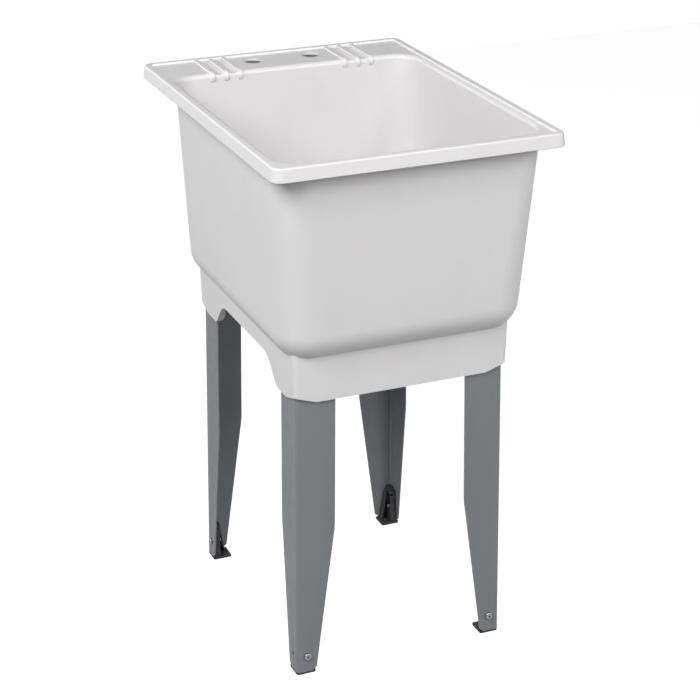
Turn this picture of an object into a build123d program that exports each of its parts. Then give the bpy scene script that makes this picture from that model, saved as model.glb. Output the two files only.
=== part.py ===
from build123d import *
import os
from math import asin, cos, radians, sin, tan

# A free-standing laundry sink. A one-piece moulded tub (bowl, rim, tap ledge and skirt)
# stands on four pressed-steel legs, each with a levelling foot clamped by one screw.
# Millimetres. The origin is on the floor under the middle of the rim, +Z is up and the
# tap ledge is at +Y. An inset is always measured towards the inside of the tub.

# ---------------------------------------------------------------- rim
rim_width = 458.0        # over the lip, left to right
rim_depth = 612.0        # over the lip, front to back
rim_height = 860.0       # floor to the top of the bead
rim_corner = 18.0
lip_height = 20.7
lip_flare = 3.0          # the lip leans out by this much on its way down
wall = 4.0               # moulded wall of the whole tub
bead_width = 10.0        # raised bead round the rim
bead_rise = 3.0
bead_flank = 1.1         # sideways run of the bead's inner side
bead_inner_edge = 1.0
top_edge = 3.0           # rounding of the lip's top edge
bottom_edge = 1.2
mouth_radius = 7.0       # rounding where the ledge turns down into the bowl

# ---------------------------------------------------------------- bowl
side_overhang = 18.5     # lip edge to bowl wall, at the bottom of the lip
front_overhang = 25.0
back_overhang = 94.0     # leaves the tap ledge
side_draft = 2.4         # degrees
front_draft = 4.4
back_draft = 0.6
bowl_depth = 319.0       # ledge to the bowl's floor
bowl_corner = 44.0       # upright corners at the bottom of the lip, outside
bowl_corner_growth = 0.035   # added radius per millimetre further down
bowl_bottom_radius = 50.0

# ---------------------------------------------------------------- tap ledge
tap_hole = 31.75
tap_pitch = 101.6
tap_from_back = 45.0     # lip edge to the line of the tap holes
ridge_count = 3          # drainage ridges on each side of the taps
ridge_pitch = 23.5
ridge_group_x = 114.5    # middle of a group, from the middle of the rim
ridge_width = 8.5
ridge_rise = 2.6
ridge_root = 1.5         # the ridge starts this far inside the wall
ridge_round = 2.2
ridge_tail = 0.5         # straight run down the bowl wall
ridge_fade_radius = 7.0      # then it sinks into the wall along this arc
ridge_fade_angle = 44.0
channel_radius = 8.75    # scalloped channel between two ridges
channel_back_depth = 0.6
channel_front_depth = 3.4
pad_thickness = 3.0      # thicker ledge under the channels
pad_depth = 50.0
pad_width = 58.0

# ---------------------------------------------------------------- skirt and leg pockets
skirt_inset = 20.8       # bowl wall at its bottom to skirt, at the sides and the front
skirt_back_inset = 14.0
skirt_drop = 66.5        # skirt's lower edge, below the underside of the bowl
skirt_flare = 0.03       # per millimetre of height, each side
skirt_corner = 6.0
skirt_overlap = 26.0     # the skirt runs this far up behind the bowl's rounded bottom
pocket_width = 92.0      # thick wall along both sides of a corner
pocket_height = 65.0
slot_clearance = 0.4     # round a leg in its pocket
notch_width = 35.0       # the lower edge lifts towards each corner
notch_rise = 11.5
arch_rise = 42.0         # side and back arches, above the skirt's lower edge
arch_start = 76.0        # skirt corner to the foot of an arch
arch_run = 36.0          # foot of an arch to its level top
arch_foot_radius = 14.0
arch_top_radius = 40.0

# ---------------------------------------------------------------- legs
leg_lean = 0.73          # degrees, outwards and down, in both directions
leg_width = 63.0
leg_toe = 32.0           # flange width at the floor
leg_break = 252.0        # height where the flanges start to narrow
leg_break_radius = 120.0
leg_thickness = 1.9
leg_bend = 4.5           # outside radius of the spine
leg_lift = 3.8           # lower edge above the floor, with the foot fully in
leg_toe_cut = 6.0
leg_top_cut = 8.0
leg_top_gap = 0.5        # below the roof of the pocket

# ---------------------------------------------------------------- feet
foot_travel = 19.0
foot_gap = 0.3           # running clearance between a foot and its leg
foot_plate = 3.2
foot_size = 32.0
foot_corner = 3.0
foot_web = 4.5
foot_guide = 6.5         # the nut's channel is this deep in the inner face
foot_rib = 2.6           # wall round the hollow of the plain wing
foot_peak = 65.5         # top of the foot in the corner
clamped_reach = 28.5     # leg corner to the end of the slotted wing, at the plate
clamped_reach_top = 22.5
clamped_shoulder = 62.0  # top of the slotted wing at its end
plain_reach = 26.5       # the same for the plain wing
plain_reach_top = 16.0
plain_shoulder = 60.5
anchor_hole = 6.0
anchor_along = 18.0      # from the leg's corner, beside the slotted wing
anchor_across = 25.0

# ---------------------------------------------------------------- foot screws and nuts
screw_d = 6.35
screw_length = 15.9
screw_head_d = 12.0
screw_head_h = 3.5
screw_height = 31.0      # above the floor
screw_inset = 17.4       # from the leg's corner
leg_hole_d = 7.1
foot_slot_w = 7.0
seat_gap = 0.05          # under the head and under the nut
nut_flats = 11.1
nut_height = 5.5
nut_side_gap = 0.4
nut_end_gap = 0.6
thread_gap = 0.1

# ---------------------------------------------------------------- drain, tailpiece, stopper
dish_radius = 135.0      # inside this radius the bowl's floor falls to the drain
dish_fall = 3.5
hub_radius = 46.0        # thick hub round the drain
hub_drop = 8.0           # its lower face, below the bowl's underside
hub_cone = 4.0
drain_flange_r = 36.0
drain_flange_t = 3.0
drain_rim_fall = 0.8     # the flange is this much thinner at its edge
drain_seat_gap = 0.4
drain_body_r = 23.8
drain_hole_gap = 0.5
drain_length = 54.5
drain_bore_r = 20.0
drain_mouth_r = 22.4
drain_mouth_taper = 1.4
drain_mouth_depth = 7.0
cross_width = 4.0
cross_depth = 12.0
cross_thickness = 3.0
gasket_r = 33.0
gasket_t = 3.0
slip_ring_r = 32.0
slip_ring_t = 1.0
locknut_flats = 60.0
locknut_t = 9.0
tail_washer_t = 1.6
tail_flange_r = 23.3
tail_flange_t = 1.5
tail_r = 19.05
tail_wall = 1.3
tail_length = 98.0
tail_relief = 0.25       # the tube is this much thinner where the nut goes round it
tail_relief_height = 3.2
coupling_flats = 57.0
coupling_grip = 12.0
coupling_web = 2.2
stopper_gap = 0.3
stopper_plug = 6.0
stopper_wall = 3.0
stopper_lid_r = 25.5
stopper_lid_t = 3.5
eye_r = 4.0
eye_hole_r = 2.2
eye_height = 4.6         # its hole's centre, above the lid
eye_t = 3.0
ring_r = 9.0             # pull ring, to the middle of its wire
ring_wire_r = 1.1

# ---------------------------------------------------------------- worked-out places
ledge_top = rim_height - bead_rise
ledge_under = ledge_top - wall
lip_bottom = rim_height - lip_height
bowl_floor = ledge_top - bowl_depth
bowl_under = bowl_floor - wall
skirt_bottom = bowl_under - skirt_drop
skirt_top = bowl_under + skirt_overlap
pocket_depth = 2 * wall + 2 * slot_clearance + leg_thickness
lean = tan(radians(leg_lean))
leg_top = skirt_bottom + pocket_height - leg_top_gap
dish_low = bowl_floor - dish_fall
hub_bottom = bowl_under - hub_drop
drain_bottom = dish_low - drain_length
past = 1.0               # how far a cutting tool runs past the face it starts from


def rim_outline(height, inset):
    """Half width, front, back and corner radius of the lip at a height."""
    inset = inset + lip_flare * (height - lip_bottom) / lip_height
    return (rim_width / 2 - inset, -rim_depth / 2 + inset, rim_depth / 2 - inset,
            rim_corner - inset)


def recess_outline(height, inset):
    """The same for the inner side of the bead."""
    flank = bead_flank * (rim_height - height) / bead_rise
    return rim_outline(rim_height, bead_width + flank + inset)


def bowl_outline(height, inset):
    """The same for the bowl's wall."""
    drop = lip_bottom - height
    half = rim_width / 2 - side_overhang - drop * tan(radians(side_draft)) - inset
    front = -rim_depth / 2 + front_overhang + drop * tan(radians(front_draft)) + inset
    back = rim_depth / 2 - back_overhang - drop * tan(radians(back_draft)) - inset
    return half, front, back, bowl_corner + bowl_corner_growth * drop - inset


def skirt_outline(height, inset):
    """The same for the skirt."""
    half, front, back, _ = bowl_outline(bowl_under, 0)
    inset = inset + skirt_flare * (bowl_under - height)
    return (half - skirt_inset - inset, front + skirt_inset + inset,
            back - skirt_back_inset - inset, skirt_corner - inset + skirt_flare * skirt_drop)


def drafted(outline_at, inset, low, high, bottom_radius=0):
    """A solid between two heights whose sloping walls follow an outline."""
    with BuildPart() as form:
        for height in (low, high):
            half, front, back, corner = outline_at(height, inset)
            with BuildSketch(Plane.XY.offset(height)):
                with Locations((0, (front + back) / 2)):
                    RectangleRounded(2 * half, back - front, corner)
        loft(ruled=True)
        if bottom_radius:
            fillet(form.faces().sort_by(Axis.Z)[0].edges(), bottom_radius)
    return form.part


def turned(frame, *points):
    """A closed outline of (radius, height) turned round the Z axis of a frame."""
    with BuildPart() as solid:
        with BuildSketch(Plane(frame.origin, x_dir=frame.x_dir, z_dir=-frame.y_dir)):
            with BuildLine():
                Polyline(*points, close=True)
            make_face()
        revolve(axis=Axis(frame.origin, frame.z_dir))
    return solid.part


def corner_frame(outline, side, end, slope=0.0):
    """A frame at floor level under one corner, its X and Y axes running in along the walls."""
    half, front, back, _ = outline
    along = (-side, 0, -slope) if side == end else (0, -end, -slope)
    return Plane((side * half, back if end > 0 else front, 0), x_dir=along,
                 z_dir=(-side * slope, -end * slope, 1))


def angle_bar(frame, low, high, width, thickness, bend, grow=0.0):
    """An L-section bar with its bend on the Z axis of a frame, grown by a clearance."""
    far = width + grow
    with BuildPart() as bar:
        with BuildSketch(frame.offset(low)):
            with BuildLine():
                FilletPolyline((far, -grow), (-grow, -grow), (-grow, far), radius=bend + grow)
                offset(amount=thickness + 2 * grow, side=Side.RIGHT)
            make_face()
        extrude(amount=high - low)
    return bar.part


corners = {
    "front_left": (-1, -1),
    "front_right": (1, -1),
    "back_left": (-1, 1),
    "back_right": (1, 1),
}
skirt_foot = skirt_outline(skirt_bottom, 0)
leg_foot = skirt_outline(skirt_bottom, wall + slot_clearance - skirt_bottom * lean)
pockets = [corner_frame(skirt_foot, side, end) for side, end in corners.values()]
legs = {name: corner_frame(leg_foot, side, end, lean) for name, (side, end) in corners.items()}
drain_y = (skirt_foot[1] + skirt_foot[2]) / 2
drain = Plane((0, drain_y, 0))

# ---------------------------------------------------------------- skirt
with BuildPart() as hollow:
    add(drafted(skirt_outline, wall, skirt_bottom - past, skirt_top + past))
    for frame in pockets:
        add(angle_bar(frame, skirt_bottom - past, skirt_top + past, pocket_width, pocket_depth,
                      skirt_corner), mode=Mode.SUBTRACT)


def arch(plane, start, stop, reach):
    """What an arch takes out of the skirt's lower edge, drawn on an upright plane."""
    low, high = skirt_bottom, skirt_bottom + arch_rise
    with BuildPart() as opening:
        with BuildSketch(plane):
            with BuildLine():
                edge = FilletPolyline(
                    (start, low),
                    (start + arch_start, low),
                    (start + arch_start + arch_run, high),
                    (stop - arch_start - arch_run, high),
                    (stop - arch_start, low),
                    (stop, low),
                    radius=(arch_foot_radius, arch_top_radius, arch_top_radius, arch_foot_radius),
                )
                Polyline((stop, low), (stop, low - notch_rise), (start, low - notch_rise),
                         (start, low))
            make_face()
        extrude(amount=reach)
    return opening.part


with BuildPart() as skirt:
    add(drafted(skirt_outline, 0, skirt_bottom, skirt_top))
    add(hollow.part, mode=Mode.SUBTRACT)
    for frame in legs.values():
        add(angle_bar(frame, skirt_bottom - past, skirt_bottom + pocket_height, leg_width,
                      leg_thickness, leg_bend, slot_clearance), mode=Mode.SUBTRACT)
    add(arch(Plane.YZ.offset(-rim_width / 2), *skirt_foot[1:3], rim_width), mode=Mode.SUBTRACT)
    add(arch(drain.rotated((90, 0, 0)), -skirt_foot[0], skirt_foot[0], -rim_depth / 2),
        mode=Mode.SUBTRACT)
    for frame in pockets:
        with BuildSketch(frame.offset(skirt_bottom)):
            Rectangle(2 * notch_width, 2 * notch_width)
        with BuildSketch(frame.offset(skirt_bottom + notch_rise)):
            Rectangle(past, past)
        loft(ruled=True, mode=Mode.SUBTRACT)

# ---------------------------------------------------------------- ridges and channels
wall_y = bowl_outline(ledge_top, wall)[2]
bead_y = recess_outline(ledge_top, 0)[2]

mouth_y = wall_y + mouth_radius
mouth_z = ledge_top - mouth_radius

with BuildPart() as ridge:
    with BuildLine(Plane.YZ):
        Line((bead_y + past, ledge_top), (mouth_y, ledge_top))
        CenterArc((mouth_y, mouth_z), mouth_radius, 90, 90)
        Line((wall_y, mouth_z), (wall_y, mouth_z - ridge_tail))
        CenterArc((wall_y + ridge_fade_radius, mouth_z - ridge_tail), ridge_fade_radius, 180,
                  ridge_fade_angle)
    with BuildSketch(Plane((0, bead_y + past, ledge_top), x_dir=(1, 0, 0),
                           z_dir=(0, -1, 0))) as bar:
        with Locations((0, (ridge_rise - ridge_root) / 2)):
            Rectangle(ridge_width, ridge_rise + ridge_root)
        fillet(bar.vertices().group_by(Axis.Y)[-1], ridge_round)
    sweep()

channel_start = Vector(0, bead_y, ledge_top - channel_back_depth + channel_radius)
channel_end = Vector(0, wall_y, ledge_top - channel_front_depth + channel_radius)
with BuildPart() as channel:
    with BuildSketch(Plane(channel_start, z_dir=channel_end - channel_start)):
        Circle(channel_radius)
    extrude(amount=(channel_end - channel_start).length + mouth_radius)

# ---------------------------------------------------------------- tub
with BuildPart() as tub:
    add(drafted(rim_outline, 0, lip_bottom, rim_height))
    add(drafted(recess_outline, 0, ledge_top, rim_height + past), mode=Mode.SUBTRACT)
    bead = tub.faces().sort_by(Axis.Z)[-1]
    fillet(bead.outer_wire().edges(), top_edge)
    bead = tub.faces().sort_by(Axis.Z)[-1]
    fillet(bead.inner_wires()[0].edges(), bead_inner_edge)
    fillet(tub.edges().group_by(Axis.Z)[0], bottom_edge)
    add(drafted(rim_outline, wall, lip_bottom - past, ledge_under), mode=Mode.SUBTRACT)

    add(drafted(bowl_outline, 0, bowl_under, ledge_under, bowl_bottom_radius))
    add(skirt.part)
    add(turned(drain, (0, bowl_under), (dish_radius, bowl_under),
               (hub_radius, bowl_under - hub_cone), (hub_radius, hub_bottom), (0, hub_bottom)))
    add(drafted(bowl_outline, wall, bowl_floor, ledge_top + past, bowl_bottom_radius - wall),
        mode=Mode.SUBTRACT)
    ledge = tub.faces().filter_by(Axis.Z).group_by(Axis.Z)[-2].sort_by(SortBy.AREA)[-1]
    fillet(ledge.inner_wires()[0].edges(), mouth_radius)

    # the ledge's ridges, the channels between them and the pads below
    with GridLocations(2 * ridge_group_x, 0, 2, 1):
        with Locations((0, bowl_outline(ledge_under, 0)[2] - past, ledge_under)):
            Box(pad_width, pad_depth, pad_thickness, align=(Align.CENTER, Align.MIN, Align.MAX))
        with GridLocations(ridge_pitch, 0, ridge_count - 1, 1):
            add(channel.part, mode=Mode.SUBTRACT)
        with GridLocations(ridge_pitch, 0, ridge_count, 1):
            add(ridge.part)

    with BuildSketch(Plane.XY.offset(ledge_top)):
        with Locations((0, rim_depth / 2 - tap_from_back)):
            with GridLocations(tap_pitch, 0, 2, 1):
                Circle(tap_hole / 2)
    extrude(amount=-2 * wall, mode=Mode.SUBTRACT)

    # the dish, the flange's seat and the drain hole
    add(turned(drain, (0, bowl_floor), (dish_radius, bowl_floor), (drain_flange_r, dish_low),
               (0, dish_low)), mode=Mode.SUBTRACT)
    add(turned(drain, (0, bowl_floor), (drain_flange_r + drain_seat_gap, bowl_floor),
               (drain_flange_r + drain_seat_gap, dish_low - drain_flange_t),
               (drain_body_r + drain_hole_gap, dish_low - drain_flange_t),
               (drain_body_r + drain_hole_gap, hub_bottom - past), (0, hub_bottom - past)),
        mode=Mode.SUBTRACT)

# ---------------------------------------------------------------- legs, feet, screws, nuts
foot_outer = leg_thickness + foot_gap
foot_inner = foot_outer + foot_web + foot_guide
channel_low = screw_height - nut_flats / 3 ** 0.5 - nut_end_gap
channel_high = screw_height + foot_travel + nut_flats / 3 ** 0.5 + nut_end_gap


def flange_plane(frame):
    """The outer face of a leg's first flange: X along the flange, Y up, Z outwards."""
    return Plane(frame.origin, x_dir=frame.x_dir, z_dir=-frame.y_dir)


def diagonal_plane(frame):
    """The plane that mirrors one flange of a leg onto the other."""
    return Plane(frame.origin, x_dir=frame.z_dir, z_dir=frame.x_dir - frame.y_dir)


def leg_part(frame):
    """A pressed angle, narrowing to its toe, with a screw hole in each flange."""
    cut_top = leg_lift + leg_toe_cut
    cut_edge = leg_toe + (leg_width - leg_toe) * cut_top / leg_break
    clear = leg_width + past
    with BuildPart() as waste:
        with BuildSketch(flange_plane(frame)):
            with BuildLine():
                edge = FilletPolyline(
                    (leg_toe - leg_toe_cut, leg_lift),
                    (cut_edge, cut_top),
                    (leg_width, leg_break),
                    (leg_width, leg_top - leg_top_cut),
                    (leg_width - leg_top_cut, leg_top),
                    radius=(0, leg_break_radius, 0),
                )
                Polyline(edge @ 1, (leg_width - leg_top_cut, leg_top + past),
                         (clear, leg_top + past), (clear, leg_lift - past),
                         (leg_toe - leg_toe_cut, leg_lift - past), edge @ 0)
            make_face()
            with Locations((screw_inset, screw_height)):
                Circle(leg_hole_d / 2)
        extrude(amount=leg_bend, both=True)
        mirror(about=diagonal_plane(frame))
    with BuildPart() as leg:
        add(angle_bar(frame, leg_lift, leg_top, leg_width, leg_thickness, leg_bend))
        add(waste.part, mode=Mode.SUBTRACT)
    return leg


def wing(plane, reach, reach_top, shoulder):
    """The outline of one wing of a foot, on the inner face of its flange."""
    with BuildSketch(plane) as outline:
        with BuildLine():
            Polyline((foot_outer, foot_plate / 2), (reach, foot_plate / 2), (reach_top, shoulder),
                     (foot_outer, foot_peak), close=True)
        make_face()
    return outline.sketch


def foot_part(frame, hand):
    """A levelling foot: a slotted wing with a nut channel, a plain ribbed wing and a plate."""
    clamped = flange_plane(frame).offset(-foot_outer)
    plain = Plane(frame.origin, x_dir=frame.y_dir, z_dir=frame.x_dir).offset(foot_outer)
    floor = Plane(frame.origin, x_dir=(frame.x_dir.X, frame.x_dir.Y, 0), z_dir=(0, 0, 1))
    with BuildPart() as foot:
        extrude(wing(clamped, clamped_reach, clamped_reach_top, clamped_shoulder),
                amount=foot_outer - foot_inner)
        extrude(wing(plain, plain_reach, plain_reach_top, plain_shoulder),
                amount=foot_inner - foot_outer)
        spine = foot.edges().filter_by(Axis(frame.origin, frame.z_dir))
        fillet(spine.sort_by_distance(frame.origin)[0], leg_bend - foot_outer)
        # the hollow of the plain wing, inside a wall along its edge and its top
        with BuildSketch(plain.offset(foot_web)):
            offset(wing(Plane.XY, plain_reach, plain_reach_top, plain_shoulder), -foot_rib)
            with Locations((foot_inner, 0)):
                Rectangle(plain_reach, foot_peak, align=(Align.MIN, Align.MIN),
                          mode=Mode.INTERSECT)
        extrude(amount=foot_guide, mode=Mode.SUBTRACT)
        # the nut's channel and the slot for the screw
        with BuildSketch(clamped.offset(-foot_web)):
            with Locations((screw_inset, channel_low)):
                Rectangle(nut_flats + 2 * nut_side_gap, channel_high - channel_low,
                          align=(Align.CENTER, Align.MIN))
        extrude(amount=-foot_guide, mode=Mode.SUBTRACT)
        with BuildSketch(clamped):
            with Locations((screw_inset, screw_height + foot_travel / 2)):
                SlotCenterToCenter(foot_travel, foot_slot_w, rotation=90)
        extrude(amount=-foot_web, mode=Mode.SUBTRACT)
        with BuildSketch(floor) as plate:
            Rectangle(foot_size, foot_size, align=(Align.MIN, Align.MIN))
            fillet(plate.vertices().sort_by_distance((0, 0, 0))[1:], foot_corner)
            fillet(plate.vertices().sort_by_distance((0, 0, 0))[0], leg_bend)
            with Locations((anchor_along, anchor_across)):
                Circle(anchor_hole / 2, mode=Mode.SUBTRACT)
        extrude(amount=foot_plate)
    if hand == "left":
        return foot
    with BuildPart() as other_hand:
        mirror(foot.part, about=diagonal_plane(frame))
    return other_hand


def screw_seat(name, frame):
    """Where a foot's screw sits: on the outer face of its flange, X up, Z outwards."""
    if name.endswith("right"):
        return Plane(frame.from_local_coords((0, screw_inset, screw_height)),
                     x_dir=frame.z_dir, z_dir=-frame.x_dir)
    return Plane(frame.from_local_coords((screw_inset, 0, screw_height)),
                 x_dir=frame.z_dir, z_dir=-frame.y_dir)


seats = [screw_seat(name, frame) for name, frame in legs.items()]
screw_r, head_r, head_top = screw_d / 2, screw_head_d / 2, seat_gap + screw_head_h
with BuildPart() as foot_screws:
    for seat in seats:
        add(turned(seat, (0, -screw_length), (screw_r - 0.5, -screw_length),
                   (screw_r, -screw_length + 0.5), (screw_r, seat_gap), (head_r, seat_gap),
                   (head_r, head_top - 0.6 * screw_head_h), (0.7 * head_r, head_top),
                   (0, head_top)))

with BuildPart() as foot_nuts:
    for seat in seats:
        with BuildSketch(seat.offset(-foot_outer - foot_web - seat_gap)):
            RegularPolygon(nut_flats / 2, 6, major_radius=False)
            Circle(screw_r + thread_gap, mode=Mode.SUBTRACT)
        extrude(amount=-nut_height)


# ---------------------------------------------------------------- drain and stopper
def hexagon_nut(flats, hole, low, high):
    """A hexagon nut on the drain's axis."""
    with BuildPart() as nut:
        with BuildSketch(drain.offset(low)):
            RegularPolygon(flats / 2, 6, major_radius=False)
            Circle(hole, mode=Mode.SUBTRACT)
        extrude(amount=high - low)
    return nut


def ring(inner, outer, low, high):
    """A plain ring on the drain's axis."""
    with BuildPart() as piece:
        add(turned(drain, (inner, low), (outer, low), (outer, high), (inner, high)))
    return piece


flange_low = dish_low - drain_flange_t
seat_low = dish_low - drain_mouth_depth
seat_low_r = drain_mouth_r - drain_mouth_taper
with BuildPart() as drain_flange:
    add(turned(drain, (drain_mouth_r, dish_low), (drain_flange_r - 2, dish_low),
               (drain_flange_r, dish_low - drain_rim_fall), (drain_flange_r, flange_low),
               (drain_body_r, flange_low), (drain_body_r, drain_bottom),
               (drain_bore_r, drain_bottom), (drain_bore_r, seat_low - 1),
               (seat_low_r, seat_low)))
    with BuildSketch(drain.offset(dish_low - cross_depth)):
        for angle in (0, 90):
            Rectangle(2 * drain_bore_r + 1, cross_width, rotation=angle)
    extrude(amount=-cross_thickness)

slip_top = hub_bottom - gasket_t
locknut_top = slip_top - slip_ring_t
tail_top = drain_bottom - tail_washer_t
tail_low = tail_top - tail_flange_t
drain_gasket = ring(drain_body_r + thread_gap, gasket_r, slip_top, hub_bottom)
drain_washer = ring(drain_body_r + thread_gap, slip_ring_r, locknut_top, slip_top)
drain_locknut = hexagon_nut(
    locknut_flats, drain_body_r + thread_gap, locknut_top - locknut_t, locknut_top)
tailpiece_washer = ring(tail_r, tail_flange_r, tail_top, drain_bottom)

with BuildPart() as drain_tailpiece:
    add(turned(drain, (tail_r - tail_wall, tail_top), (tail_flange_r, tail_top),
               (tail_flange_r, tail_low), (tail_r - tail_relief, tail_low),
               (tail_r - tail_relief, tail_low - tail_relief_height),
               (tail_r, tail_low - tail_relief_height), (tail_r, tail_top - tail_length),
               (tail_r - tail_wall, tail_top - tail_length)))

with BuildPart() as tailpiece_nut:
    with BuildSketch(drain.offset(tail_low - coupling_web)):
        RegularPolygon(coupling_flats / 2, 6, major_radius=False)
    extrude(amount=drain_bottom + coupling_grip - tail_low + coupling_web)
    add(turned(drain, (0, tail_low), (drain_body_r + thread_gap, tail_low),
               (drain_body_r + thread_gap, rim_height), (0, rim_height)), mode=Mode.SUBTRACT)
    add(turned(drain, (0, 0), (tail_r + thread_gap, 0), (tail_r + thread_gap, rim_height),
               (0, rim_height)), mode=Mode.SUBTRACT)

# a rubber plug with an eye moulded on for its pull ring
plug_r = drain_mouth_r - stopper_gap
plug_low = dish_low - stopper_plug
plug_low_r = plug_r - drain_mouth_taper * stopper_plug / drain_mouth_depth
lid_low = dish_low + stopper_gap
lid_top = lid_low + stopper_lid_t
with BuildPart() as stopper:
    add(turned(drain, (0, lid_low), (plug_low_r - stopper_wall, lid_low),
               (plug_low_r - stopper_wall, plug_low), (plug_low_r, plug_low), (plug_r, dish_low),
               (plug_r, lid_low), (stopper_lid_r, lid_low),
               (stopper_lid_r, lid_low + stopper_lid_t / 2), (stopper_lid_r - 3, lid_top),
               (0, lid_top)))
    with BuildSketch(Plane((0, drain_y, lid_top), x_dir=(0, 1, 0), z_dir=(1, 0, 0))):
        with Locations((0, eye_height)):
            Circle(eye_r)
        Rectangle(2 * eye_r, eye_height, align=(Align.CENTER, Align.MIN))
        with Locations((0, eye_height)):
            Circle(eye_hole_r, mode=Mode.SUBTRACT)
    extrude(amount=eye_t / 2, both=True)

# the ring passes through the eye and lies forward on the lid
ring_fall = asin((eye_height - ring_wire_r - stopper_gap) / (2 * ring_r))
ring_centre = (0, drain_y - ring_r * cos(ring_fall), lid_top + eye_height - ring_r * sin(ring_fall))
with BuildPart(Plane(ring_centre, z_dir=(0, -sin(ring_fall), cos(ring_fall)))) as stopper_ring:
    Torus(ring_r, ring_wire_r)

# ---------------------------------------------------------------- files
pieces = {
    "tub": tub,
    "drain_flange": drain_flange,
    "drain_gasket": drain_gasket,
    "drain_washer": drain_washer,
    "drain_locknut": drain_locknut,
    "tailpiece_washer": tailpiece_washer,
    "tailpiece_nut": tailpiece_nut,
    "drain_tailpiece": drain_tailpiece,
    "stopper": stopper,
    "stopper_ring": stopper_ring,
    "foot_screws": foot_screws,
    "foot_nuts": foot_nuts,
}
for name, frame in legs.items():
    pieces["leg_" + name] = leg_part(frame)
    pieces["foot_" + name] = foot_part(frame, name.split("_")[1])

os.makedirs("parts", exist_ok=True)
for name, piece in pieces.items():
    piece.part.label = name
    export_step(piece.part, f"parts/{name}.step")
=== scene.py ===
"""A moulded laundry sink on painted steel legs: its finishes, small fasteners and studio.

Lengths are in metres, Z is up, and the front of the sink faces -Y.
"""
import math

import bpy
from bpy.props import FloatProperty, FloatVectorProperty, PointerProperty
from mathutils import Matrix, Vector


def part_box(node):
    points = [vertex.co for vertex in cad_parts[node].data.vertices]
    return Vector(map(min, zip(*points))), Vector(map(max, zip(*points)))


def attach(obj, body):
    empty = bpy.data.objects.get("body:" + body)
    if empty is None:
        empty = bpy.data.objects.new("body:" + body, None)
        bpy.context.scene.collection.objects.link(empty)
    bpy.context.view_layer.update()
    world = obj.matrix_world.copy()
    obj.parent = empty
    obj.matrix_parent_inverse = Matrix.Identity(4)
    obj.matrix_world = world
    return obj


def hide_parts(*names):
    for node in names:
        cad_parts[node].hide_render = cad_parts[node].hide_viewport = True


bl_info = {
    "name": "Laundry Sink",
    "version": (1, 0, 0),
    "blender": (4, 5, 0),
    "location": "3D View > Sidebar > Laundry Sink",
    "description": "Finishes a moulded laundry sink and lights it for a picture",
    "category": "Object",
}

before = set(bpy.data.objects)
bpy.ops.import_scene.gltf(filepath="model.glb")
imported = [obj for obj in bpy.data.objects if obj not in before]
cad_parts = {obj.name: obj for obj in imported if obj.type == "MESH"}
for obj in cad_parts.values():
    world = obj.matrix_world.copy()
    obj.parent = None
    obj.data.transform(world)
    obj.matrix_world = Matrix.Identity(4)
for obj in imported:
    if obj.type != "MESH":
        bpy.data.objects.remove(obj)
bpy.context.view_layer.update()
LEGS = ("front_left", "front_right", "back_left", "back_right")
LEG_LEAN = math.tan(math.radians(0.73))  # sideways run of a splayed leg, for each metre up

FIRST_TWIST = 0.3  # radians; each screw ends its last turn somewhere else
TWIST_STEP = 0.9
FLAT = 0.9  # a face looks up or down when its normal's Z is past this

EDGE_SAMPLES = 4
HOLLOW_SAMPLES = 8
PLASTIC_IOR = 1.49

MIDDLE = Vector((0, 0, 0.6))  # what every lamp faces
LAMPS = (  # setting with the power, degrees round from the front, degrees up
    ("left", -100, 10),
    ("key", -60, 41),
    ("front", 15, 35),
    ("right", 60, 8),
    ("back", -150, 10),
)


# ------------------------------------------------------------------ sizes and colours
class SinkScrewSizes(bpy.types.PropertyGroup):
    """Sizes of the screws that clamp the feet."""

    head_radius: FloatProperty(
        name="Head radius", description="Outside radius of the pan head",
        default=0.006, unit="LENGTH")
    head_height: FloatProperty(
        name="Head height", description="Height of the pan head",
        default=0.0035, unit="LENGTH")
    shank_radius: FloatProperty(
        name="Shank radius", description="Outside radius of the thread",
        default=0.003175, unit="LENGTH")
    shank_length: FloatProperty(
        name="Shank length", description="Length under the head",
        default=0.0159, unit="LENGTH")
    inset: FloatProperty(
        name="Inset", description="From the corner of the leg to the screw",
        default=0.0174, unit="LENGTH")
    height: FloatProperty(
        name="Height", description="From the floor to the screw",
        default=0.031, unit="LENGTH")
    tip_chamfer: FloatProperty(
        name="Tip chamfer", description="Bevel at the end of the shank",
        default=0.0006, unit="LENGTH")
    slot_width: FloatProperty(
        name="Recess width", description="Width of each bar of the cross recess",
        default=0.0015, unit="LENGTH")
    slot_length: FloatProperty(
        name="Recess length", description="Length of each bar of the cross recess",
        default=0.0062, unit="LENGTH")
    slot_depth: FloatProperty(
        name="Recess depth", description="Depth of the cross recess, measured in the head",
        default=0.0022, unit="LENGTH")
    slot_taper: FloatProperty(
        name="Recess taper", description="Size of the recess's bottom against its mouth",
        subtype="FACTOR", min=0.0, max=1.0, default=0.45)
    crown: FloatProperty(
        name="Crown", description="Part of the head's height that is rounded",
        subtype="FACTOR", min=0.0, max=1.0, default=0.62)


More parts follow.
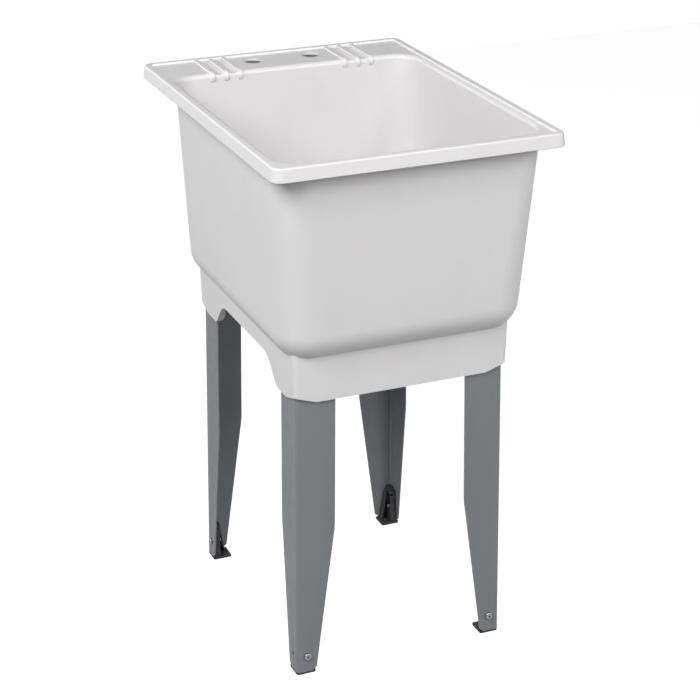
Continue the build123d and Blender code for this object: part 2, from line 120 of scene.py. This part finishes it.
class SinkColours(bpy.types.PropertyGroup):
    """Colours of the finishes."""

    tub: FloatVectorProperty(
        name="Tub", description="Moulded plastic of the tub",
        subtype="COLOR", size=3, min=0.0, max=1.0, default=(0.80, 0.787, 0.792))
    tub_rubbed: FloatVectorProperty(
        name="Tub edges", description="Plastic of the tub where its edges are rubbed",
        subtype="COLOR", size=3, min=0.0, max=1.0, default=(0.70, 0.685, 0.675))
    leg: FloatVectorProperty(
        name="Legs", description="Baked paint on the legs",
        subtype="COLOR", size=3, min=0.0, max=1.0, default=(0.214, 0.229, 0.244))
    foot: FloatVectorProperty(
        name="Feet", description="Moulded plastic of the feet",
        subtype="COLOR", size=3, min=0.0, max=1.0, default=(0.037, 0.036, 0.038))
    zinc: FloatVectorProperty(
        name="Fasteners", description="Bright zinc plating",
        subtype="COLOR", size=3, min=0.0, max=1.0, default=(0.40, 0.43, 0.48))
    chrome: FloatVectorProperty(
        name="Chrome", description="Plated parts of the drain",
        subtype="COLOR", size=3, min=0.0, max=1.0, default=(0.80, 0.80, 0.80))
    cast: FloatVectorProperty(
        name="Cast nut", description="Die-cast nut under the drain",
        subtype="COLOR", size=3, min=0.0, max=1.0, default=(0.48, 0.48, 0.47))
    rubber: FloatVectorProperty(
        name="Gasket", description="Black rubber of the gasket",
        subtype="COLOR", size=3, min=0.0, max=1.0, default=(0.02, 0.02, 0.02))
    fibre: FloatVectorProperty(
        name="Slip washer", description="Pressed fibre",
        subtype="COLOR", size=3, min=0.0, max=1.0, default=(0.36, 0.28, 0.18))
    poly: FloatVectorProperty(
        name="Tailpiece washer", description="Milky soft plastic",
        subtype="COLOR", size=3, min=0.0, max=1.0, default=(0.70, 0.71, 0.68))
    stopper: FloatVectorProperty(
        name="Stopper", description="White rubber of the stopper",
        subtype="COLOR", size=3, min=0.0, max=1.0, default=(0.66, 0.66, 0.64))


class SinkStage(bpy.types.PropertyGroup):
    """The floor, the lamps and the camera."""

    camera_place: FloatVectorProperty(
        name="Camera", description="Where the camera stands",
        subtype="TRANSLATION", size=3, default=(-1.1003, -2.6499, 1.6737))
    camera_aim: FloatVectorProperty(
        name="Aim", description="What the camera looks at",
        subtype="TRANSLATION", size=3, default=(0.0149, 0.0051, 0.43075))
    camera_lens: FloatProperty(
        name="Lens", description="Focal length in millimetres", default=99.05,
        unit="CAMERA")
    camera_sensor: FloatProperty(
        name="Sensor", description="Width of the sensor in millimetres", default=36.0,
        unit="CAMERA")
    floor: FloatVectorProperty(
        name="Floor", description="Colour of the floor",
        subtype="COLOR", size=3, min=0.0, max=1.0, default=(0.30, 0.30, 0.30))
    floor_size: FloatProperty(
        name="Floor size", description="Width of the floor", default=6.4, unit="LENGTH")
    floor_glow: FloatProperty(
        name="Floor glow", description="Light the camera sees on top of the lit floor",
        subtype="FACTOR", min=0.0, max=1.0, default=0.91)
    room_gloss: FloatProperty(
        name="Room in reflections", description="How bright the room looks in a shine",
        subtype="FACTOR", min=0.0, max=1.0, default=0.4)
    lamp_distance: FloatProperty(
        name="Lamp distance", description="From the sink to each lamp", unit="LENGTH",
        default=4.0)
    lamp_size: FloatProperty(
        name="Lamp size", description="Width of each soft lamp", unit="LENGTH", default=2.0)
    left: FloatProperty(
        name="Left lamp", description="Power of the low lamp on the left", unit="POWER",
        default=16.0)
    key: FloatProperty(
        name="Key lamp", description="Power of the high lamp at the front left",
        unit="POWER", default=128.0)
    front: FloatProperty(
        name="Front lamp", description="Power of the lamp in front", unit="POWER",
        default=76.0)
    right: FloatProperty(
        name="Right lamp", description="Power of the low lamp on the right", unit="POWER",
        default=32.0)
    back: FloatProperty(
        name="Back lamp", description="Power of the low lamp behind the sink", unit="POWER",
        default=32.0)


# ------------------------------------------------------------------ node helpers
def start_material(name):
    """A new material and its node tree, principled shader and object coordinates."""
    material = bpy.data.materials.new(name)
    material.use_nodes = True
    tree = material.node_tree
    shader = tree.nodes["Principled BSDF"]
    place = tree.nodes.new("ShaderNodeTexCoord").outputs["Object"]
    return material, tree, shader, place


def noise(tree, place, scale, detail=2.0, stretch=(1, 1, 1)):
    """Noise at so many features a metre, with fewer along an axis whose stretch is small."""
    spread = tree.nodes.new("ShaderNodeMapping")
    spread.inputs["Scale"].default_value = stretch
    tree.links.new(place, spread.inputs["Vector"])
    node = tree.nodes.new("ShaderNodeTexNoise")
    node.inputs["Scale"].default_value = scale
    node.inputs["Detail"].default_value = detail
    tree.links.new(spread.outputs["Vector"], node.inputs["Vector"])
    return node.outputs["Fac"]


def spread_to(tree, value, low, high, start=0.3, stop=0.7):
    """A value from low to high as the incoming one goes from start to stop."""
    node = tree.nodes.new("ShaderNodeMapRange")
    node.inputs["From Min"].default_value = start
    node.inputs["From Max"].default_value = stop
    node.inputs["To Min"].default_value = low
    node.inputs["To Max"].default_value = high
    tree.links.new(value, node.inputs["Value"])
    return node.outputs["Result"]


def blend_colours(tree, factor, first, second):
    """The first colour where a factor is 0 and the second where it is 1."""
    node = tree.nodes.new("ShaderNodeMix")
    node.data_type = "RGBA"
    tree.links.new(factor, node.inputs["Factor"])
    for socket, colour in (("A", first), ("B", second)):
        # a Mix node has one A and one B of each kind, and only the kind tells them apart
        entry = [s for s in node.inputs if s.name == socket and s.type == "RGBA"][0]
        if hasattr(colour, "is_linked"):
            tree.links.new(colour, entry)
        else:
            entry.default_value = (*colour, 1.0)
    return [s for s in node.outputs if s.type == "RGBA"][0]


def combine(tree, operation, first, second):
    """Two values, or a value and a number, combined by ADD, MULTIPLY or MAXIMUM."""
    node = tree.nodes.new("ShaderNodeMath")
    node.operation = operation
    for value, entry in ((first, node.inputs[0]), (second, node.inputs[1])):
        if hasattr(value, "is_linked"):
            tree.links.new(value, entry)
        else:
            entry.default_value = value
    return node.outputs["Value"]


def add_bump(tree, shader, *layers):
    """Bumps one over another, each from a height value, a depth in metres and a strength."""
    normal = None
    for height, depth, strength in layers:
        node = tree.nodes.new("ShaderNodeBump")
        node.inputs["Distance"].default_value = depth
        node.inputs["Strength"].default_value = strength
        tree.links.new(height, node.inputs["Height"])
        if normal is not None:
            tree.links.new(normal, node.inputs["Normal"])
        normal = node.outputs["Normal"]
    tree.links.new(normal, shader.inputs["Normal"])


def edges(tree, radius):
    """Near 1 where the surface turns sharply within a radius, and 0 on the flat."""
    rounded = tree.nodes.new("ShaderNodeBevel")
    rounded.samples = EDGE_SAMPLES
    rounded.inputs["Radius"].default_value = radius
    surface = tree.nodes.new("ShaderNodeNewGeometry")
    agree = tree.nodes.new("ShaderNodeVectorMath")
    agree.operation = "DOT_PRODUCT"
    tree.links.new(rounded.outputs["Normal"], agree.inputs[0])
    tree.links.new(surface.outputs["Normal"], agree.inputs[1])
    return spread_to(tree, agree.outputs["Value"], 1.0, 0.0, start=0.94, stop=0.998)


def painted_shade_clearance(tree, reach, start, stop):
    """Painted-shade mask: 0 in hollows and 1 in the open, as what is clear within reach goes from
    start to stop.
    """
    hollow = tree.nodes.new("ShaderNodeAmbientOcclusion")
    hollow.samples = HOLLOW_SAMPLES
    hollow.inputs["Distance"].default_value = reach
    return spread_to(tree, hollow.outputs["AO"], 0.0, 1.0, start, stop)


def in_view(tree, gloss):
    """1 for what the eye sees straight or through glass, less in a shine, and 0 as light."""
    rays = tree.nodes.new("ShaderNodeLightPath")
    value = combine(tree, "MULTIPLY", rays.outputs["Is Glossy Ray"], gloss)
    for name in ("Is Camera Ray", "Is Transmission Ray"):
        value = combine(tree, "MAXIMUM", value, rays.outputs[name])
    return value


def shade(colour, factor):
    """A colour made lighter or darker."""
    return tuple(min(1.0, channel * factor) for channel in colour)


# ------------------------------------------------------------------ materials
def tub_plastic(colours):
    """Thick moulded plastic: faint clouding, flow marks, a fine grain and rubbed edges."""
    material, tree, shader, place = start_material("tub plastic")
    base = tuple(colours.tub)
    cloud = spread_to(tree, noise(tree, place, scale=9.0, detail=3.0), 0.0, 1.0)
    colour = blend_colours(tree, cloud, shade(base, 0.985), shade(base, 1.01))
    flow = spread_to(tree, noise(tree, place, scale=30.0, detail=3.0, stretch=(1, 1, 0.2)),
                     0.0, 0.5, start=0.5, stop=0.75)
    colour = blend_colours(tree, flow, colour, shade(base, 0.97))
    speck = spread_to(tree, noise(tree, place, scale=420.0), 0.0, 1.0, start=0.62, stop=0.80)
    colour = blend_colours(tree, speck, colour, shade(base, 0.965))
    patches = spread_to(tree, noise(tree, place, scale=70.0, detail=4.0), 0.0, 0.8,
                        start=0.45, stop=0.7)
    rubbed = combine(tree, "MULTIPLY", edges(tree, radius=0.0025), patches)
    colour = blend_colours(tree, rubbed, colour, tuple(colours.tub_rubbed))
    tree.links.new(colour, shader.inputs["Base Color"])
    gloss = spread_to(tree, noise(tree, place, scale=35.0, detail=3.0), 0.30, 0.37)
    tree.links.new(gloss, shader.inputs["Roughness"])
    add_bump(tree, shader,
             (noise(tree, place, scale=26.0, detail=1.0), 0.0007, 0.12),
             (noise(tree, place, scale=1500.0), 0.00004, 0.25))
    shader.inputs["IOR"].default_value = PLASTIC_IOR
    return material


def leg_paint(colours):
    """Baked paint over pressed steel: orange peel, drawn marks, and edges painted paler for wear
    and as a painted highlight.
    """
    material, tree, shader, place = start_material("leg paint")
    base = tuple(colours.leg)
    cloud = spread_to(tree, noise(tree, place, scale=14.0, detail=3.0, stretch=(1, 1, 0.25)),
                      0.0, 1.0)
    colour = blend_colours(tree, cloud, shade(base, 0.94), shade(base, 1.05))
    dust = spread_to(tree, noise(tree, place, scale=900.0), 0.0, 0.7, start=0.62, stop=0.8)
    colour = blend_colours(tree, dust, colour, shade(base, 1.25))
    patches = spread_to(tree, noise(tree, place, scale=110.0, detail=5.0), 0.05, 1.0,
                        start=0.42, stop=0.62)
    # paler edges: partly paint worn thin, partly a painted highlight along every edge
    worn_and_highlit_edges = combine(tree, "MULTIPLY", edges(tree, radius=0.0011), patches)
    colour = blend_colours(tree, worn_and_highlit_edges, colour, shade(base, 1.75))
    tree.links.new(colour, shader.inputs["Base Color"])
    gloss = spread_to(tree, noise(tree, place, scale=60.0, detail=3.0), 0.30, 0.42)
    scuffs = spread_to(tree, noise(tree, place, scale=220.0, detail=4.0, stretch=(1, 1, 0.12)),
                       0.0, 0.12, start=0.6, stop=0.75)
    tree.links.new(combine(tree, "ADD", gloss, scuffs), shader.inputs["Roughness"])
    add_bump(tree, shader,
             (noise(tree, place, scale=700.0), 0.00005, 0.35),
             (noise(tree, place, scale=90.0, stretch=(1, 1, 0.06)), 0.0002, 0.10))
    return material


def foot_plastic(colours):
    """Black moulded plastic: a fine spark grain, painted shade in its hollows and greyed corners.
    """
    material, tree, shader, place = start_material("foot plastic")
    base = tuple(colours.foot)
    cloud = spread_to(tree, noise(tree, place, scale=120.0, detail=3.0), 0.0, 1.0)
    colour = blend_colours(tree, cloud, base, shade(base, 1.5))
    # painted shade: the plastic turns nearly black in hollows and creases
    clear_of_painted_shade = painted_shade_clearance(tree, reach=0.012, start=0.25, stop=0.85)
    colour = blend_colours(tree, clear_of_painted_shade, shade(base, 0.15), colour)
    patches = spread_to(tree, noise(tree, place, scale=260.0, detail=4.0), 0.1, 1.0,
                        start=0.4, stop=0.65)
    rubbed = combine(tree, "MULTIPLY", edges(tree, radius=0.0009), patches)
    colour = blend_colours(tree, rubbed, colour, shade(base, 2.6))
    tree.links.new(colour, shader.inputs["Base Color"])
    gloss = spread_to(tree, noise(tree, place, scale=300.0), 0.38, 0.55)
    tree.links.new(gloss, shader.inputs["Roughness"])
    add_bump(tree, shader, (noise(tree, place, scale=2600.0), 0.00005, 0.4))
    return material


def plated_metal(name, colour, smoothest, roughest, grain=0.0, painted_shade_reach=0.0):
    """Plated or cast metal: cloudy gloss, a grain's strength, and the reach of painted shade in
    its recesses.
    """
    material, tree, shader, place = start_material(name)
    cloud = spread_to(tree, noise(tree, place, scale=160.0, detail=3.0), 0.0, 1.0)
    finish = blend_colours(tree, cloud, shade(colour, 0.93), shade(colour, 1.04))
    if painted_shade_reach:
        # painted shade: the colour goes nearly black in recesses and where a head meets the leg
        clear_of_painted_shade = painted_shade_clearance(tree, reach=painted_shade_reach, start=0.50, stop=0.92)
        finish = blend_colours(tree, clear_of_painted_shade, shade(colour, 0.04), finish)
    tree.links.new(finish, shader.inputs["Base Color"])
    gloss = spread_to(tree, noise(tree, place, scale=400.0, detail=4.0), smoothest, roughest)
    tree.links.new(gloss, shader.inputs["Roughness"])
    shader.inputs["Metallic"].default_value = 1.0
    if grain:
        add_bump(tree, shader, (noise(tree, place, scale=2400.0, detail=3.0), 0.00003, grain))
    return material


def soft_goods(name, colour, roughness, grain):
    """Rubber, fibre and soft plastic."""
    material, tree, shader, place = start_material(name)
    cloud = spread_to(tree, noise(tree, place, scale=220.0, detail=4.0), 0.0, 1.0)
    colour = blend_colours(tree, cloud, shade(colour, 0.90), shade(colour, 1.06))
    tree.links.new(colour, shader.inputs["Base Color"])
    gloss = spread_to(tree, noise(tree, place, scale=300.0, detail=3.0),
                      roughness - 0.06, roughness + 0.06)
    tree.links.new(gloss, shader.inputs["Roughness"])
    add_bump(tree, shader, (noise(tree, place, scale=2000.0, detail=3.0), 0.00006, grain))
    return material


def dress(node, material):
    """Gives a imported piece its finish, and raises if it has nowhere to put it."""
    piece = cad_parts[node]
    if not piece.material_slots:
        raise RuntimeError(f"{node} has no material slot")
    for slot in piece.material_slots:
        slot.material = material


# ------------------------------------------------------------------ modelling helpers
def clear_choice():
    """Nothing selected and nothing in edit mode."""
    if bpy.context.object and bpy.context.object.mode != "OBJECT":
        bpy.ops.object.mode_set(mode="OBJECT")
    bpy.ops.object.select_all(action="DESELECT")


def choose(piece):
    """Only this piece is selected and active."""
    clear_choice()
    piece.select_set(True)
    bpy.context.view_layer.objects.active = piece


def pick_faces(piece, side):
    """In edit mode, selects just the faces that look up (side 1) or down (side -1)."""
    bpy.ops.mesh.select_mode(type="FACE")
    bpy.ops.mesh.select_all(action="DESELECT")
    bpy.ops.object.mode_set(mode="OBJECT")
    for face in piece.data.polygons:
        face.select = face.normal.z * side > FLAT
    bpy.ops.object.mode_set(mode="EDIT")


def add_cylinder(name, radius, depth, place, sides=48):
    """A capped cylinder along Z."""
    clear_choice()
    bpy.ops.mesh.primitive_cylinder_add(vertices=sides, radius=radius, depth=depth, location=place)
    piece = bpy.context.object
    piece.name = name
    bpy.ops.object.transform_apply(location=True, rotation=True, scale=True)
    return piece


def apply_modifier(piece, kind, **settings):
    """Adds a modifier, sets it and applies it."""
    choose(piece)
    modifier = piece.modifiers.new(kind.title(), kind)
    for key, value in settings.items():
        setattr(modifier, key, value)
    bpy.ops.object.modifier_apply(modifier=modifier.name)


def smooth(piece, angle=35.0):
    """Smooth shading up to an angle between faces."""
    choose(piece)
    bpy.ops.object.shade_smooth_by_angle(angle=math.radians(angle))


def screw_master(sizes):
    """A pan-head screw with a cross recess, its seat at the origin and its head up."""
    screw = add_cylinder("foot screw", sizes.head_radius, sizes.head_height,
                         (0, 0, sizes.head_height / 2))
    bpy.ops.object.mode_set(mode="EDIT")
    pick_faces(screw, 1)
    bpy.ops.mesh.bevel(offset=sizes.head_height * sizes.crown, offset_type="OFFSET", segments=6,
                       profile=0.62)
    pick_faces(screw, -1)
    bpy.ops.mesh.inset(thickness=sizes.head_radius - sizes.shank_radius)
    bpy.ops.mesh.extrude_region_move(
        TRANSFORM_OT_translate={"value": (0, 0, -sizes.shank_length)})
    bpy.ops.mesh.bevel(offset=sizes.tip_chamfer, offset_type="OFFSET", segments=2)
    bpy.ops.object.mode_set(mode="OBJECT")
    for turn in (0.0, math.pi / 2):
        clear_choice()
        bpy.ops.mesh.primitive_cube_add(size=1.0, location=(0, 0, sizes.head_height))
        bar = bpy.context.object
        bar.scale = (sizes.slot_length, sizes.slot_width, 2 * sizes.slot_depth)
        bar.rotation_euler.z = turn
        bpy.ops.object.transform_apply(location=True, rotation=True, scale=True)
        bpy.ops.object.mode_set(mode="EDIT")
        pick_faces(bar, -1)
        bpy.ops.transform.resize(value=(sizes.slot_taper, sizes.slot_taper, 1.0))
        bpy.ops.object.mode_set(mode="OBJECT")
        apply_modifier(screw, "BOOLEAN", operation="DIFFERENCE", object=bar, solver="EXACT")
        bpy.data.objects.remove(bar)
    return screw


def screw_places(sizes):
    """Where each foot's screw sits on its flange, and which way its head faces."""
    places = {}
    height = sizes.height - sizes.inset * LEG_LEAN  # the inset is square to the leaning leg
    run = sizes.height * LEG_LEAN  # how far in the leg's corner is, so high over the floor
    for name in LEGS:
        low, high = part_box("leg_" + name)
        side = -1 if "left" in name else 1
        end = -1 if "front" in name else 1
        # a leg stops above the floor, so its corner is carried on down to it
        corner = Vector((high[0] if side > 0 else low[0], high[1] if end > 0 else low[1], 0))
        corner += Vector((side, end, 0)) * low[2] * LEG_LEAN
        if name.startswith("back"):
            point = corner + Vector((-side * run, -end * (sizes.inset + run), height))
            out = Vector((side, 0, LEG_LEAN))
        else:
            point = corner + Vector((-side * (sizes.inset + run), -end * run, height))
            out = Vector((0, end, LEG_LEAN))
        places[name] = (point, out.normalized())
    return places


# ------------------------------------------------------------------ operators
class SINK_OT_tub(bpy.types.Operator):
    """Give the tub its moulded plastic finish"""

    bl_idname = "sink.tub"
    bl_label = "Finish tub"

    def execute(self, context):
        dress("tub", tub_plastic(context.scene.sink_colours))
        return {"FINISHED"}


class SINK_OT_legs(bpy.types.Operator):
    """Give the legs their baked paint"""

    bl_idname = "sink.legs"
    bl_label = "Finish legs"

    def execute(self, context):
        paint = leg_paint(context.scene.sink_colours)
        for name in LEGS:
            dress("leg_" + name, paint)
        return {"FINISHED"}


class SINK_OT_feet(bpy.types.Operator):
    """Give the levelling feet their black plastic"""

    bl_idname = "sink.feet"
    bl_label = "Finish feet"

    def execute(self, context):
        plastic = foot_plastic(context.scene.sink_colours)
        for name in LEGS:
            dress("foot_" + name, plastic)
        return {"FINISHED"}


class SINK_OT_screws(bpy.types.Operator):
    """Model the pan-head screws that clamp the feet, and finish their nuts"""

    bl_idname = "sink.screws"
    bl_label = "Make foot screws"

    def execute(self, context):
        sizes, colours = context.scene.sink_screws, context.scene.sink_colours
        # the last setting is how far painted shade reaches into the recesses and round each head
        zinc = plated_metal("zinc plating", tuple(colours.zinc), smoothest=0.10, roughest=0.22,
                            grain=0.2, painted_shade_reach=0.0022)
        dress("foot_nuts", zinc)
        master = screw_master(sizes)
        smooth(master)
        master.data.materials.append(zinc)
        for name, (point, out) in screw_places(sizes).items():
            screw = master.copy()
            screw.data = master.data.copy()
            screw.name = "foot_screw_" + name
            context.collection.objects.link(screw)
            turn = out.to_track_quat("Z", "Y").to_matrix().to_4x4()
            twist = Matrix.Rotation(FIRST_TWIST + TWIST_STEP * LEGS.index(name), 4, "Z")
            screw.matrix_world = Matrix.Translation(point) @ turn @ twist
            choose(screw)
            bpy.ops.object.transform_apply(location=True, rotation=True, scale=True)
            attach(screw, "sink")
            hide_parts("foot_screws")
        bpy.data.objects.remove(master)
        return {"FINISHED"}


class SINK_OT_drain(bpy.types.Operator):
    """Finish the drain, its nuts and washers and the tailpiece"""

    bl_idname = "sink.drain"
    bl_label = "Finish drain"

    def execute(self, context):
        colours = context.scene.sink_colours
        chrome = plated_metal("chrome plating", tuple(colours.chrome),
                              smoothest=0.05, roughest=0.12)
        for node in ("drain_flange", "tailpiece_nut", "drain_tailpiece"):
            dress(node, chrome)
        dress("drain_locknut",
              plated_metal("cast metal", tuple(colours.cast),
                           smoothest=0.35, roughest=0.55, grain=0.5))
        for node, name, colour, roughness, grain in (
                ("drain_gasket", "gasket rubber", colours.rubber, 0.70, 0.3),
                ("drain_washer", "pressed fibre", colours.fibre, 0.85, 0.6),
                ("tailpiece_washer", "milky plastic", colours.poly, 0.40, 0.1)):
            dress(node, soft_goods(name, tuple(colour), roughness, grain))
        return {"FINISHED"}


class SINK_OT_stopper(bpy.types.Operator):
    """Finish the stopper and its pull ring"""

    bl_idname = "sink.stopper"
    bl_label = "Finish stopper"

    def execute(self, context):
        colours = context.scene.sink_colours
        dress("stopper",
              soft_goods("stopper rubber", tuple(colours.stopper), roughness=0.50, grain=0.15))
        dress("stopper_ring",
              plated_metal("ring wire", tuple(colours.chrome), smoothest=0.08, roughest=0.16))
        return {"FINISHED"}


class SINK_OT_stage(bpy.types.Operator):
    """Set the floor, the soft lamps, the room light and the camera"""

    bl_idname = "sink.stage"
    bl_label = "Set the stage"

    def execute(self, context):
        stage = context.scene.sink_stage
        self.add_floor(context, stage)
        self.light_room(context, stage)
        for name, azimuth, height in LAMPS:
            self.add_lamp(context, stage, name, math.radians(azimuth), math.radians(height))
        clear_choice()
        bpy.ops.object.camera_add(location=stage.camera_place)
        camera = context.object
        away = Vector(stage.camera_place) - Vector(stage.camera_aim)
        camera.rotation_euler = away.to_track_quat("Z", "Y").to_euler()
        camera.data.lens = stage.camera_lens
        camera.data.sensor_width = stage.camera_sensor
        context.scene.camera = camera
        context.scene.view_settings.view_transform = "Standard"
        return {"FINISHED"}

    def add_lamp(self, context, stage, name, azimuth, height):
        """A soft square lamp that faces the bowl, so far round from the front and so high."""
        level = math.cos(height)
        away = Vector((math.sin(azimuth) * level, -math.cos(azimuth) * level, math.sin(height)))
        clear_choice()
        bpy.ops.object.light_add(type="AREA", location=MIDDLE + away * stage.lamp_distance)
        lamp = context.object
        lamp.name = name + " lamp"
        lamp.rotation_euler = away.to_track_quat("Z", "Y").to_euler()
        lamp.data.size = stage.lamp_size
        lamp.data.energy = getattr(stage, name)
        lamp.visible_camera = False

    def add_floor(self, context, stage):
        """A wide plain floor, white to the eye except where the sink shades it."""
        clear_choice()
        bpy.ops.mesh.primitive_plane_add(size=stage.floor_size, location=(0, 0, 0))
        floor = context.object
        floor.name = "floor"
        material, tree, shader, _ = start_material("plain floor")
        shader.inputs["Base Color"].default_value = (*stage.floor, 1.0)
        shader.inputs["Roughness"].default_value = 0.9
        shader.inputs["Specular IOR Level"].default_value = 0.1
        shader.inputs["Emission Color"].default_value = (1.0, 1.0, 1.0, 1.0)
        glow = combine(tree, "MULTIPLY", in_view(tree, stage.room_gloss), stage.floor_glow)
        tree.links.new(glow, shader.inputs["Emission Strength"])
        floor.data.materials.append(material)

    def light_room(self, context, stage):
        """A room that looks white behind the sink and pale in its shines, and lights nothing."""
        world = bpy.data.worlds.new("studio")
        context.scene.world = world
        world.use_nodes = True
        tree = world.node_tree
        room = tree.nodes["Background"]
        room.inputs["Color"].default_value = (1.0, 1.0, 1.0, 1.0)
        tree.links.new(in_view(tree, stage.room_gloss), room.inputs["Strength"])


class SINK_PT_panel(bpy.types.Panel):
    """The sink's pieces and its stage"""

    bl_label = "Laundry Sink"
    bl_idname = "SINK_PT_panel"
    bl_space_type = "VIEW_3D"
    bl_region_type = "UI"
    bl_category = "Laundry Sink"

    def draw(self, context):
        layout = self.layout
        for operator in STEPS:
            layout.operator(operator.bl_idname)
        for group in ("sink_screws", "sink_colours", "sink_stage"):
            box = layout.box()
            settings = getattr(context.scene, group)
            for key in settings.__annotations__:
                box.prop(settings, key)


STEPS = (SINK_OT_stage, SINK_OT_tub, SINK_OT_legs, SINK_OT_feet, SINK_OT_screws, SINK_OT_drain,
         SINK_OT_stopper)
CLASSES = (SinkScrewSizes, SinkColours, SinkStage, *STEPS, SINK_PT_panel)


def register():
    """Adds the classes and the scene's three groups of settings."""
    for cls in CLASSES:
        bpy.utils.register_class(cls)
    bpy.types.Scene.sink_screws = PointerProperty(type=SinkScrewSizes)
    bpy.types.Scene.sink_colours = PointerProperty(type=SinkColours)
    bpy.types.Scene.sink_stage = PointerProperty(type=SinkStage)


def unregister():
    """Takes the settings and the classes out again."""
    for name in ("sink_stage", "sink_colours", "sink_screws"):
        delattr(bpy.types.Scene, name)
    for cls in reversed(CLASSES):
        bpy.utils.unregister_class(cls)


def main():
    """Runs every step in order."""
    register()
    for step in STEPS:
        group, name = step.bl_idname.split(".")
        getattr(getattr(bpy.ops, group), name)()


if __name__ == "__main__":
    main()
